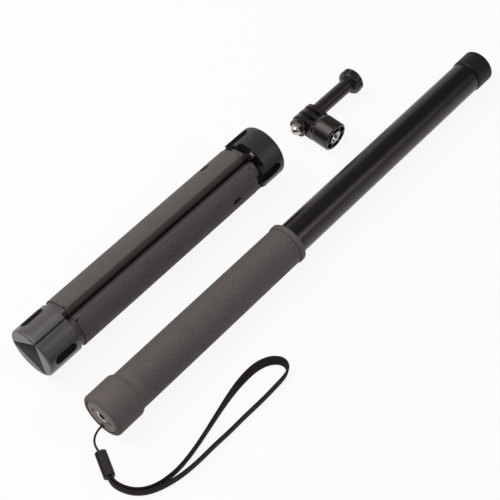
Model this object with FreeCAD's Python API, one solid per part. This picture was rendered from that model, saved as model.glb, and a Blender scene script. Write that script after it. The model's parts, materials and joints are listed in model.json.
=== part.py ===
import FreeCAD, Part

import math
import os

# Selfie stick set laid out on a table: a telescopic pole with a wrist strap, a folded
# mini tripod and an action-camera adapter. Millimetres, +Z up.
# The table is the plane z = 0. +Y runs from the pole's butt to its head.
# The origin lies under the middle of the box round the set, strap left out.

# Fits and clearances
end_slack = 0.01
press_fit = 0.02
running_fit = 0.06
body_gap = 0.4
seam_gap = 0.35

# How far cutters run past a face
past = 1.0

# Quarter-inch camera thread
thread_r = 3.175
insert_r = 4.25
insert_length = 9.5
insert_floor = 1.0
insert_sink = 0.15
countersink = 0.4
stud_tip = 0.5
stud_shoulder_r = 3.5

# Layout on the table
axis_spacing = 60.2
tripod_ahead = 1.7
adapter_beyond_hub = 44.45
adapter_left = 59.67

# Pole, measured from its butt face
pole_length = 371.0
tube_r = 11.1
tube_wall = 0.9
grip_length = 168.5
grip_r = 13.55
flange_r = 15.2
flange_length = 19.0
flange_blend = 5.0
flange_round = 2.2
end_ring_r = 14.3
end_ring_width = 4.0
end_ring_round = 1.0
groove_width = 1.0
groove_depth = 0.5
butt_recess = 6.0
plug_r = 12.0
plug_sink = 0.3
plug_edge = 0.5
plug_spigot = 8.0
spanner_hole_r = 1.15
spanner_hole_depth = 4.0
spanner_hole_at = 6.9
eyelet_r = 1.6
eyelet_depth = 5.0
eyelet_at = 9.6
strap_pin_r = 0.6
strap_pin_length = 6.0
strap_pin_depth = 3.0

# Knurled collar and head
collar_r = 11.8
collar_length = 14.5
collar_floor = 2.0
collar_wall = 2.6
collar_edge = 0.7
knurl_count = 44
knurl_depth = 0.35
knurl_crest_share = 0.52
head_pad_thick = 1.5
head_plug_spigot = 14.0
head_root_r = 5.0
head_root_length = 6.0
head_root_cover = 2.0
head_stud_reach = 4.0

# Telescopic sections
bush_length = 14.0
bush_flange = 1.2
collar_gap = 0.4
mid_tube_r = 9.3
inner_tube_r = 7.6
section_wall = 0.8
mid_tube_start = 102.0
inner_tube_start = 162.0
mouth_step = 3.4
brake_length = 16.0
brake_standoff = 2.0
brake_slit = 1.6
brake_cone_gap = 0.4
spigot_plug = 12.0
spigot_shoulder = 0.68
spigot_waist_r = 3.4
spigot_foot_r = 4.6
spigot_foot = 1.6

# Tripod, measured from the foot end
tripod_length = 212.0
hub_proud = 1.0
hub_length = 21.5
hub_round = 2.4
leg_r = 17.5
foot_proud = 0.05
foot_length = 25.0
foot_end_round = 1.5
foot_half_angle = 57.0
foot_edge_drop = 0.8
foot_hollow = 9.0
neck_drop = 1.1
foot_neck_length = 4.0
hub_neck_length = 3.6
hub_gap = 1.1
leg_gap = 0.4
leg_slot_width = 2.0
leg_slot_depth = 3.0
leg_core_r = 2.6
facet_half_angle = 46.0
facet_drop = 3.5
skin_thick = 1.5
skin_half_angle = 43.5
skin_seam_angle = 0.3
skin_end_round = 3.0
leg_tang_length = 15.0
leg_tang_wall = 2.4
leg_tang_width = 19.7
inlay_length = 17.0
inlay_width = 7.0
inlay_depth = 1.4
inlay_at = 13.2
inlay_sink = 0.25
sight_hole_length = 7.0
sight_hole_width = 4.0
sight_hole_at = 24.6
leg_screw_head_r = 1.8
leg_screw_head = 1.0
leg_screw_r = 0.9
leg_screw_length = 7.0
leg_screw_sink = 0.6
leg_screw_slot = 0.5
leg_screw_slot_depth = 0.35
first_leg_angle = -40.0

# Tripod hub and leg hinges
hinge_at = 14.2
hinge_above_rim = 9.8
knuckle_r = 2.6
knuckle_width = 7.0
tenon_to_skin = 0.6
hinge_pin_r = 1.04
hinge_pin_length = 12.6
window_height = 16.5
window_taper = 3.6
window_top_width = 3.6
ring_cavity_r = 11.2
ring_cavity_height = 5.0
ring_inner_r = 7.5
ring_outer_r = 10.8
ring_height = 2.8
tab_reach_r = 18.0
tab_half_angle = 7.0
tab_bottom = -0.2
tab_top = 3.4
arch_half_angle = 38.0
arch_height = 3.8
arch_round = 1.6
arch_inset = 1.5
core_boss_r = 7.0
core_boss_length = 7.5
core_flange_r = 10.6
core_flange = 0.9
core_rise = 0.2
core_screw_head_r = 2.9
core_screw_head = 2.2
core_screw_r = 1.5
core_screw_length = 13.0
core_screw_cross = 3.6
core_screw_cross_width = 0.8
core_screw_cross_depth = 0.8
hub_root_r = 6.0
hub_root_length = 6.0
hub_root_cover = 2.0
hub_stud_reach = 5.5
hub_pad_r = 14.0
hub_pad_inner_r = 4.2
hub_pad_thick = 1.4
hub_pad_sink = 0.4

# Adapter, measured from the crossing of its screw axis and its middle finger
finger_r = 7.5
finger_thick = 3.0
finger_gap = 3.0
finger_root = 9.0
bolt_r = 2.5
barrel_r = 10.3
barrel_end = 24.5
barrel_start = 8.0
barrel_shoulder = 5.0
barrel_edge = 0.8
block_into_barrel = 2.0
body_round = 1.4
cavity_outer_r = 8.7
cavity_inner_r = 5.2
cavity_depth = 5.0
cavity_rib = 0.9
cavity_ribs = 6
nut_boss_r = 6.6
nut_boss_length = 3.7
nut_flat = 4.0
nut_pocket = 3.0
nut_hex_length = 4.6
nut_dome_r = 3.5
nut_wall = 1.5
nut_crown_r = 5.2
nut_crown_at = 2.9
sleeve_r = 5.0
sleeve_length = 35.0
sleeve_foot_r = 6.2
sleeve_foot = 1.0
knob_r = 8.9
knob_thick = 7.0
knob_notches = 8
knob_notch_r = 2.0
knob_notch_depth = 1.0
knob_edge = 1.2
bolt_into_knob = 6.0

# Wrist strap, laid flat side upright on the table
strap_width = 5.5
strap_thick = 1.3
strap_lift = 0.2
string_r = 0.7
clasp_length = 17.4
clasp_width = 7.0
clasp_height = 6.4
clasp_corner = 1.6
clasp_edge = 0.5

# Worked out from the sizes above
hub_r = leg_r + hub_proud
foot_r = leg_r + foot_proud
pole_x = (axis_spacing + hub_r - flange_r) / 2
pole_y = -(pole_length + head_stud_reach) / 2
pole_z = flange_r
tripod_x = pole_x - axis_spacing
tripod_y = pole_y + tripod_ahead
tripod_z = hub_r
adapter_x = pole_x - adapter_left
adapter_y = tripod_y + tripod_length + adapter_beyond_hub
adapter_z = barrel_r
tube_bore_r = tube_r - tube_wall
collar_start = pole_length - collar_length
tube_mouth = collar_start - collar_gap
hub_rim = tripod_length - hub_length
leg_top = hub_rim - hub_gap
finger_pitch = finger_thick + finger_gap
finger_face = finger_pitch + finger_thick / 2

up = FreeCAD.Vector(0, 0, 1)
right = FreeCAD.Vector(1, 0, 0)
away = FreeCAD.Vector(0, 1, 0)
centre = FreeCAD.Vector(0, 0, 0)
parts = {}


def at(x, y, z):
    return FreeCAD.Vector(x, y, z)


def disc(radius, start, end):
    """A cylinder round Z between two heights."""
    return Part.makeCylinder(radius, end - start, at(0, 0, start))


def sleeve(outer, inner, start, end):
    """A tube round Z between two heights."""
    return disc(outer, start, end).cut(disc(inner, start - past, end + past))


def turned(outline):
    """Revolves a closed outline round Z; it holds (radius, height) points and ready edges."""
    edges = []
    last = None
    for item in outline + [outline[0]]:
        if isinstance(item[0], Part.Shape):
            edge, last = item
            edges.append(edge)
        else:
            point = at(item[0], 0, item[1])
            if last is not None and last.distanceToPoint(point) > 1e-6:
                edges.append(Part.makeLine(last, point))
            last = point
    face = Part.Face(Part.Wire(edges))
    return face.revolve(centre, up, 360)


def quarter(start, end, corner):
    """A quarter-ellipse edge from start to end that bulges towards the corner."""
    poles = [at(start[0], 0, start[1]), at(corner[0], 0, corner[1]), at(end[0], 0, end[1])]
    arc = Part.BSplineCurve()
    arc.buildFromPolesMultsKnots(poles, [3, 3], [0, 1], False, 2, [1, math.sqrt(0.5), 1])
    return arc.toShape(), poles[-1]


def s_bend(start, end):
    """A smooth step between two radii along the height."""
    half = (start[1] + end[1]) / 2
    curve = Part.BezierCurve()
    curve.setPoles([at(start[0], 0, start[1]), at(start[0], 0, half),
                    at(end[0], 0, half), at(end[0], 0, end[1])])
    return curve.toShape(), at(end[0], 0, end[1])


def polar(radius, degrees):
    angle = math.radians(degrees)
    return at(radius * math.cos(angle), radius * math.sin(angle), 0)


def prism(points, start, end):
    """A straight prism over a closed outline of plan points."""
    corners = [at(p.x, p.y, start) for p in points]
    face = Part.Face(Part.makePolygon(corners + [corners[0]]))
    return face.extrude(up * (end - start))


def obround(length, width, depth):
    """A slot shape along Z, centred, whose depth runs along X from 0."""
    half = (length - width) / 2
    radius = width / 2
    lower = Part.makeCylinder(radius, depth, at(0, 0, -half), right)
    upper = Part.makeCylinder(radius, depth, at(0, 0, half), right)
    middle = Part.makeBox(depth, width, 2 * half, at(0, -radius, -half))
    return lower.fuse([upper, middle]).removeSplitter()


def keep(name, shape):
    """Stores a finished solid or group of solids under its node name."""
    parts[name] = shape


def lay(shape, x, y, z):
    """Turns a piece made round Z to lie along +Y and moves it to its place."""
    laid = shape.copy()
    laid.rotate(centre, right, -90)
    laid.translate(at(x, y, z))
    return laid


def keep_on_pole(name, shape):
    keep(name, lay(shape, pole_x, pole_y, pole_z))


def keep_on_tripod(name, shape):
    keep(name, lay(shape, tripod_x, tripod_y, tripod_z))


def threaded_insert(mouth):
    """A metal insert whose mouth is at the given height and whose blind hole runs up."""
    bottom = mouth + insert_length
    floor = bottom - insert_floor
    return turned([
        (thread_r + countersink, mouth), (insert_r, mouth), (insert_r, bottom), (0, bottom),
        (0, floor), (thread_r, floor), (thread_r, mouth + countersink)])


def threaded_stud(root_r, root_start, root_end, shoulder_end, tip):
    """A stud with a wide moulded-in root, a shoulder up to the pad's face and a chamfered tip."""
    return turned([
        (0, root_start), (root_r, root_start), (root_r, root_end), (stud_shoulder_r, root_end),
        (stud_shoulder_r, shoulder_end), (thread_r, shoulder_end),
        (thread_r, tip - stud_tip), (thread_r - stud_tip, tip), (0, tip)])


def make_grip():
    """Moulded grip: flared butt, plain barrel, groove and end ring."""
    opening_r = plug_r + seam_gap
    bore_r = tube_r + press_fit
    blend_end = flange_length + flange_blend
    ring_start = grip_length - end_ring_width
    groove_start = ring_start - groove_width
    ring_inner = end_ring_r - end_ring_round
    return turned([
        (opening_r, 0), (flange_r - flange_round, 0),
        quarter((flange_r - flange_round, 0), (flange_r, flange_round), (flange_r, 0)),
        (flange_r, flange_length),
        s_bend((flange_r, flange_length), (grip_r, blend_end)),
        (grip_r, groove_start), (grip_r - groove_depth, groove_start + groove_depth),
        (grip_r - groove_depth, ring_start), (ring_inner, ring_start),
        quarter((ring_inner, ring_start), (end_ring_r, ring_start + end_ring_round),
                (end_ring_r, ring_start)),
        (end_ring_r, grip_length - end_ring_round),
        quarter((end_ring_r, grip_length - end_ring_round), (ring_inner, grip_length),
                (end_ring_r, grip_length)),
        (bore_r, grip_length), (bore_r, butt_recess), (opening_r, butt_recess)])


def make_butt():
    """End plug with spanner holes and a string eyelet, its insert and its cross pin."""
    spigot_r = tube_bore_r - press_fit
    plug = turned([
        (0, plug_sink), (plug_r - plug_edge, plug_sink), (plug_r, plug_sink + plug_edge),
        (plug_r, butt_recess), (spigot_r, butt_recess), (spigot_r, butt_recess + plug_spigot),
        (0, butt_recess + plug_spigot)])
    insert_end = plug_sink + insert_sink + insert_length
    plug = plug.cut(disc(insert_r + press_fit, 0, insert_end))
    for side in (-1, 1):
        hole = disc(spanner_hole_r, 0, plug_sink + spanner_hole_depth)
        hole.translate(at(side * spanner_hole_at, 0, 0))
        plug = plug.cut(hole)
    eyelet = disc(eyelet_r, 0, plug_sink + eyelet_depth)
    eyelet.translate(at(0, eyelet_at, 0))
    pin_start = at(-strap_pin_length / 2, eyelet_at, strap_pin_depth)
    pin = Part.makeCylinder(strap_pin_r, strap_pin_length, pin_start, right)
    plug = plug.cut(eyelet).cut(pin)
    keep_on_pole("butt_plug", plug)
    keep_on_pole("strap_pin", pin)
    keep_on_pole("butt_insert", threaded_insert(plug_sink + insert_sink))


def make_bush(outer_tube_r, wall, passing_r, mouth):
    """Nylon guide bush: a sleeve inside a tube's mouth with a flange over its end."""
    seat = mouth - bush_flange
    body = sleeve(outer_tube_r - wall - press_fit, passing_r + running_fit,
                  seat - bush_length, seat)
    flange = sleeve(outer_tube_r, passing_r + running_fit, seat, mouth)
    return body.fuse(flange).removeSplitter()


def make_section_lock(bore_r, section_r, start):
    """Spigot with a cone in a section's lower end, and the split sleeve that it spreads."""
    plug_radius = section_r - section_wall - press_fit
    shoulder_r = section_r * spigot_shoulder
    brake_top = start - brake_standoff
    brake_low = brake_top - brake_length
    foot_low = brake_low - brake_standoff - spigot_foot
    spigot = turned([
        (0, foot_low), (spigot_foot_r, foot_low), (spigot_foot_r, foot_low + spigot_foot),
        (spigot_waist_r, foot_low + spigot_foot), (spigot_waist_r, brake_low),
        (shoulder_r, brake_top), (shoulder_r, start), (plug_radius, start),
        (plug_radius, start + spigot_plug), (0, start + spigot_plug)])
    outer_r = bore_r - running_fit
    brake = turned([
        (spigot_waist_r + brake_cone_gap, brake_low), (outer_r, brake_low), (outer_r, brake_top),
        (shoulder_r + brake_cone_gap, brake_top)])
    slit = Part.makeBox(outer_r + past, brake_slit, brake_length + 2 * past,
                        at(0, -brake_slit / 2, brake_low - past))
    return spigot, brake.cut(slit)


def make_telescope():
    """Outer tube, two inner sections, their bushes and their twist locks."""
    keep_on_pole("outer_tube", sleeve(tube_r, tube_bore_r, butt_recess, tube_mouth - bush_flange))
    keep_on_pole("outer_bush", make_bush(tube_r, tube_wall, mid_tube_r, tube_mouth))
    mid_mouth = tube_mouth - mouth_step
    mid_bore_r = mid_tube_r - section_wall
    keep_on_pole("mid_tube", sleeve(mid_tube_r, mid_bore_r, mid_tube_start, mid_mouth - bush_flange))
    keep_on_pole("mid_bush", make_bush(mid_tube_r, section_wall, inner_tube_r, mid_mouth))
    head_seat = collar_start + collar_floor
    inner_bore_r = inner_tube_r - section_wall
    keep_on_pole("inner_tube", sleeve(inner_tube_r, inner_bore_r, inner_tube_start, head_seat))
    for name, bore_r, section_r, start in (
            ("mid", tube_bore_r, mid_tube_r, mid_tube_start),
            ("inner", mid_bore_r, inner_tube_r, inner_tube_start)):
        spigot, brake = make_section_lock(bore_r, section_r, start)
        keep_on_pole(name + "_spigot", spigot)
        keep_on_pole(name + "_brake", brake)


def knurled_outline():
    """Plan points of the collar's ribs: flat crests with V grooves between them."""
    points = []
    step = 360 / knurl_count
    half_crest = knurl_crest_share * step / 2
    for rib in range(knurl_count):
        middle = rib * step
        points.append(polar(collar_r, middle - half_crest))
        points.append(polar(collar_r, middle + half_crest))
        points.append(polar(collar_r - knurl_depth, middle + step / 2))
    return points


def make_head():
    """Knurled collar, the plug that it turns, the camera stud and its rubber pad."""
    bore_r = collar_r - collar_wall
    head_seat = collar_start + collar_floor
    pad_seat = pole_length - head_pad_thick
    blank = turned([
        (0, collar_start), (collar_r - collar_edge, collar_start),
        (collar_r, collar_start + collar_edge), (collar_r, pole_length - collar_edge),
        (collar_r - collar_edge, pole_length), (0, pole_length)])
    ribs = prism(knurled_outline(), collar_start, pole_length)
    collar = ribs.common(blank)
    collar = collar.cut(disc(bore_r, head_seat, pole_length + past))
    collar = collar.cut(disc(inner_tube_r + press_fit, collar_start - past, head_seat + past))
    keep_on_pole("knurled_collar", collar)
    root_end = pad_seat - head_root_cover
    root_start = root_end - head_root_length
    stud = threaded_stud(head_root_r, root_start, root_end, pole_length,
                         pole_length + head_stud_reach)
    spigot_r = inner_tube_r - section_wall - press_fit
    plug = disc(bore_r - press_fit, head_seat, pad_seat)
    plug = plug.fuse(disc(spigot_r, head_seat - head_plug_spigot, head_seat)).removeSplitter()
    plug = plug.cut(disc(head_root_r, root_start, root_end))
    plug = plug.cut(disc(stud_shoulder_r, root_end, pad_seat))
    keep_on_pole("head_plug", plug)
    keep_on_pole("head_stud", stud)
    pad = sleeve(bore_r - press_fit, stud_shoulder_r + seam_gap, pad_seat, pole_length)
    keep_on_pole("head_pad", pad)


def sector_points(radius, slotted):
    """Plan points of one third of a round bar, its middle along +X, before and after its arc.

    A slotted third has wide facets and a step behind them that leaves a slot between two
    thirds. A plain one has only a small bevel.
    """
    sine = math.sin(math.radians(60))
    cosine = math.cos(math.radians(60))

    def on_side(along, half_gap):
        return at(along * cosine + half_gap * sine, along * sine - half_gap * cosine, 0)

    if slotted:
        shoulder = radius - facet_drop
        slot_end = shoulder - leg_slot_depth
        after = [polar(radius, facet_half_angle), on_side(shoulder, leg_slot_width / 2),
                 on_side(slot_end, leg_slot_width / 2), on_side(slot_end, leg_gap / 2)]
    else:
        after = [polar(radius, foot_half_angle), on_side(radius - foot_edge_drop, leg_gap / 2)]
    after.append(on_side(leg_core_r, leg_gap / 2))
    before = [at(p.x, -p.y, 0) for p in reversed(after)]
    return before, after


def leg_solid(radius, slotted, start, end):
    """One leg's cross-section carried from one height to another."""
    before, after = sector_points(radius, slotted)
    edges = [Part.makeLine(a, b) for a, b in zip(before, before[1:])]
    edges.append(Part.Arc(before[-1], polar(radius, 0), after[0]).toShape())
    edges += [Part.makeLine(a, b) for a, b in zip(after, after[1:])]
    edges.append(Part.makeLine(after[-1], before[0]))
    face = Part.Face(Part.Wire(edges))
    face.translate(up * start)
    return face.extrude(up * (end - start))


def ring_sector(outer, inner, half_angle, start, end):
    """A piece of a tube wall, its middle along +X."""
    edges = [
        Part.Arc(polar(outer, -half_angle), polar(outer, 0), polar(outer, half_angle)).toShape(),
        Part.makeLine(polar(outer, half_angle), polar(inner, half_angle)),
        Part.Arc(polar(inner, half_angle), polar(inner, 0), polar(inner, -half_angle)).toShape(),
        Part.makeLine(polar(inner, -half_angle), polar(outer, -half_angle))]
    face = Part.Face(Part.Wire(edges))
    face.translate(up * start)
    return face.extrude(up * (end - start))


def radial_edges(shape, length):
    """The short straight edges of a given length that run outwards from the axis."""
    found = []
    for edge in shape.Edges:
        if abs(edge.Length - length) < 0.01 and len(edge.Vertexes) == 2:
            ends = [v.Point for v in edge.Vertexes]
            if abs(ends[0].z - ends[1].z) < 1e-6:
                found.append(edge)
    return found


def make_leg():
    """One leg with its middle along +X: frame, hinge knuckle, skin, foot, inlay and screw."""
    skin_start = foot_length + foot_neck_length
    skin_end = leg_top - hub_neck_length
    neck_r = leg_r - neck_drop
    seat_r = leg_r - skin_thick
    hinge_z = hub_rim + hinge_above_rim

    frame = leg_solid(neck_r, True, foot_length, leg_top)
    frame = frame.fuse(leg_solid(leg_r, True, skin_start, skin_end)).removeSplitter()
    channel = ring_sector(leg_r + past, seat_r, skin_half_angle + skin_seam_angle,
                          skin_start - end_slack, skin_end + end_slack)
    frame = frame.cut(channel)
    tang_r = foot_r - leg_tang_wall
    tang = leg_solid(tang_r, False, foot_length - leg_tang_length, foot_length)
    tang = tang.common(Part.makeBox(2 * hub_r, leg_tang_width, leg_tang_length,
                                    at(leg_core_r + leg_tang_wall, -leg_tang_width / 2,
                                       foot_length - leg_tang_length)))
    frame = frame.fuse(tang).removeSplitter()
    tenon_low = skin_end + tenon_to_skin
    arm = Part.makeBox(2 * knuckle_r, knuckle_width, hinge_z - tenon_low,
                       at(hinge_at - knuckle_r, -knuckle_width / 2, tenon_low))
    knuckle = Part.makeCylinder(knuckle_r, knuckle_width,
                                at(hinge_at, -knuckle_width / 2, hinge_z), away)
    knuckle = knuckle.fuse(arm).removeSplitter()
    pin_hole = Part.makeCylinder(hinge_pin_r + running_fit, 2 * hub_r,
                                 at(hinge_at, -hub_r, hinge_z), away)
    knuckle = knuckle.cut(pin_hole)
    frame = frame.cut(arm)

    screw_z = hub_rim - sight_hole_at
    screw_out = seat_r - leg_screw_sink
    head = Part.makeCylinder(leg_screw_head_r, leg_screw_head,
                             at(screw_out - leg_screw_head, 0, screw_z), right)
    shank = Part.makeCylinder(leg_screw_r, leg_screw_length,
                              at(screw_out - leg_screw_head - leg_screw_length, 0, screw_z), right)
    screw = head.fuse(shank).removeSplitter()
    slot = Part.makeBox(leg_screw_head, leg_screw_slot, 2 * leg_screw_head_r,
                        at(screw_out - leg_screw_slot_depth, -leg_screw_slot / 2,
                           screw_z - leg_screw_head_r))
    well = Part.makeCylinder(leg_screw_head_r + press_fit, leg_r,
                             at(screw_out - leg_screw_head, 0, screw_z), right)
    frame = frame.cut(well).cut(shank)
    screw = screw.cut(slot)

    skin = ring_sector(leg_r, seat_r, skin_half_angle, skin_start, skin_end)
    skin = skin.makeFillet(skin_end_round, radial_edges(skin, skin_thick))
    sight = obround(sight_hole_length, sight_hole_width, leg_r)
    sight.translate(at(seat_r - past, 0, screw_z))
    skin = skin.cut(sight)

    foot = leg_solid(foot_r, False, 0, foot_length - end_slack)
    end_arcs = [e for e in foot.Edges
                if isinstance(e.Curve, Part.Circle) and e.BoundBox.ZMax < end_slack]
    foot = foot.makeFillet(foot_end_round, end_arcs)
    chord = foot_r * math.cos(math.radians(60))
    slope = Part.Face(Part.makePolygon([
        at(chord, -hub_r, 0), at(-past, -hub_r, foot_hollow * (1 + past / chord)),
        at(-past, -hub_r, -past), at(chord, -hub_r, -past), at(chord, -hub_r, 0)]))
    foot = foot.cut(slope.extrude(away * 2 * hub_r))
    foot = foot.cut(tang)
    inlay = obround(inlay_length, inlay_width, 2 * inlay_depth)
    inlay.translate(at(foot_r - inlay_depth, 0, inlay_at))
    foot = foot.cut(inlay)
    inlay = obround(inlay_length - 2 * press_fit, inlay_width - 2 * press_fit, 2 * inlay_depth)
    inlay.translate(at(foot_r - inlay_depth, 0, inlay_at))
    inlay = inlay.common(disc(foot_r - inlay_sink, 0, foot_length))
    return {"frame": frame, "knuckle": knuckle, "skin": skin, "foot": foot, "inlay": inlay,
            "screw": screw}


def make_legs():
    pieces = make_leg()
    for number in range(3):
        for name, shape in pieces.items():
            turned_shape = shape.copy()
            turned_shape.rotate(centre, up, first_leg_angle - 90 + 120 * number)
            keep_on_tripod("leg_%d_%s" % (number + 1, name), turned_shape)


def three_times(shape, start):
    """Three copies of a piece round the axis, as one group."""
    copies = []
    for number in range(3):
        copy = shape.copy()
        copy.rotate(centre, up, start - 90 + 120 * number)
        copies.append(copy)
    return copies


def make_hub():
    """Hub cap with leg windows and lock arches, its core, lock ring, pins, stud and pad."""
    top = tripod_length
    rounded = hub_r - hub_round
    shell = turned([
        (0, hub_rim), (hub_r, hub_rim), (hub_r, top - hub_round),
        quarter((hub_r, top - hub_round), (rounded, top), (hub_r, top)), (0, top)])
    shell = shell.cut(disc(ring_cavity_r, hub_rim - past, hub_rim + ring_cavity_height))
    half_window = knuckle_width / 2 + body_gap
    taper_start = hub_rim + window_height - window_taper
    window_face = Part.Face(Part.makePolygon([
        at(0, -half_window, hub_rim - past), at(0, half_window, hub_rim - past),
        at(0, half_window, taper_start), at(0, window_top_width / 2, hub_rim + window_height),
        at(0, -window_top_width / 2, hub_rim + window_height), at(0, -half_window, taper_start),
        at(0, -half_window, hub_rim - past)]))
    window_face.translate(right * (hinge_at - knuckle_r - body_gap))
    window = window_face.extrude(right * hub_r)
    for cutter in three_times(window, first_leg_angle):
        shell = shell.cut(cutter)
    arch_root_r = ring_cavity_r - arch_inset
    arch_reach_r = hub_r + past
    arch = ring_sector(arch_reach_r, arch_root_r, arch_half_angle, hub_rim - past, hub_rim + arch_height)
    upper_edges = [e for e in radial_edges(arch, arch_reach_r - arch_root_r)
                   if e.BoundBox.ZMin > hub_rim]
    arch = arch.makeFillet(arch_round, upper_edges)
    for cutter in three_times(arch, first_leg_angle + 60):
        shell = shell.cut(cutter)
    hinge_z = hub_rim + hinge_above_rim
    pin = Part.makeCylinder(hinge_pin_r, hinge_pin_length,
                            at(hinge_at, -hinge_pin_length / 2, hinge_z), away)
    pins = three_times(pin, first_leg_angle)
    for cutter in pins:
        shell = shell.cut(cutter)
    keep_on_tripod("leg_pins", Part.makeCompound(pins))

    core_low = hub_rim + core_rise
    core_top = core_low + core_boss_length
    core = disc(core_boss_r, core_low, core_top)
    core = core.fuse(disc(core_flange_r, core_low, core_low + core_flange)).removeSplitter()
    shell = shell.cut(disc(core_boss_r + press_fit, hub_rim, core_top))
    head_top = core_low + core_screw_head
    core = core.cut(disc(core_screw_head_r, core_low - past, head_top))
    core = core.cut(disc(core_screw_r, head_top - past, core_top + past))
    keep_on_tripod("hub_core", core)
    screw = disc(core_screw_head_r - press_fit, core_low + core_rise, head_top)
    screw = screw.fuse(disc(core_screw_r, head_top, head_top + core_screw_length)).removeSplitter()
    cross_depth = core_rise + core_screw_cross_depth
    for quarter_turn in (0, 90):
        slot = Part.makeBox(core_screw_cross, core_screw_cross_width, cross_depth,
                            at(-core_screw_cross / 2, -core_screw_cross_width / 2, core_low))
        slot.rotate(centre, up, quarter_turn)
        screw = screw.cut(slot)
    keep_on_tripod("core_screw", screw)

    pad_top = top - hub_pad_sink
    pad_seat = pad_top - hub_pad_thick
    root_end = pad_seat - hub_root_cover
    root_start = root_end - hub_root_length
    shell = shell.cut(disc(hub_pad_r, pad_seat, top + past))
    shell = shell.cut(disc(hub_root_r, root_start, root_end))
    shell = shell.cut(disc(stud_shoulder_r, root_end, top))
    shell = shell.cut(disc(core_screw_r, core_top - past, head_top + core_screw_length))
    keep_on_tripod("hub_shell", shell)
    stud = threaded_stud(hub_root_r, root_start, root_end, pad_top, top + hub_stud_reach)
    stud = stud.cut(disc(core_screw_r, root_start - past, head_top + core_screw_length))
    keep_on_tripod("hub_stud", stud)
    keep_on_tripod("hub_pad", sleeve(hub_pad_r - press_fit, hub_pad_inner_r, pad_seat, pad_top))

    ring_low = core_low + core_flange + core_rise
    ring = sleeve(ring_outer_r, ring_inner_r, ring_low, ring_low + ring_height)
    tab = ring_sector(tab_reach_r, ring_outer_r - past, tab_half_angle, hub_rim + tab_bottom,
                      hub_rim + tab_top)
    tab = tab.cut(disc(core_flange_r + body_gap, 0, ring_low))
    ring = ring.fuse(three_times(tab, first_leg_angle + 60)).removeSplitter()
    keep_on_tripod("lock_ring", ring)


def hexagon(flat, start, end):
    """A hexagonal prism along +Y from one place to another."""
    corner_r = flat / math.cos(math.radians(30))
    corners = [at(corner_r * math.cos(math.radians(60 * k)), start,
                  corner_r * math.sin(math.radians(60 * k))) for k in range(6)]
    face = Part.Face(Part.makePolygon(corners + [corners[0]]))
    return face.extrude(away * (end - start))


def along_y(radius, start, end):
    return Part.makeCylinder(radius, end - start, at(0, start, 0), away)


def keep_on_adapter(name, shape):
    placed = shape.copy()
    placed.translate(at(adapter_x, adapter_y, adapter_z))
    keep(name, placed)


def make_barrel():
    """Round socket housing with a domed back, a ribbed annular cavity and a centre boss."""
    profile = turned([
        (0, barrel_start), (barrel_r - barrel_shoulder, barrel_start),
        quarter((barrel_r - barrel_shoulder, barrel_start),
                (barrel_r, barrel_start + barrel_shoulder), (barrel_r, barrel_start)),
        (barrel_r, barrel_end - barrel_edge), (barrel_r - barrel_edge, barrel_end), (0, barrel_end)])
    cavity = sleeve(cavity_outer_r, cavity_inner_r, barrel_end - cavity_depth, barrel_end + past)
    for rib in range(cavity_ribs):
        bar = Part.makeBox(barrel_r, cavity_rib, cavity_depth + 2 * past,
                           at(0, -cavity_rib / 2, barrel_end - cavity_depth))
        bar.rotate(centre, up, 360 / cavity_ribs * (rib + 0.5))
        cavity = cavity.cut(bar)
    insert = threaded_insert(insert_sink)
    insert.rotate(centre, right, 180)
    insert.translate(up * barrel_end)
    seat = disc(insert_r + press_fit, barrel_end - insert_sink - insert_length, barrel_end + past)
    pieces = []
    for shape in (profile, cavity.fuse(seat), insert):
        shape.rotate(centre, away, 90)
        pieces.append(shape)
    return pieces


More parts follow.
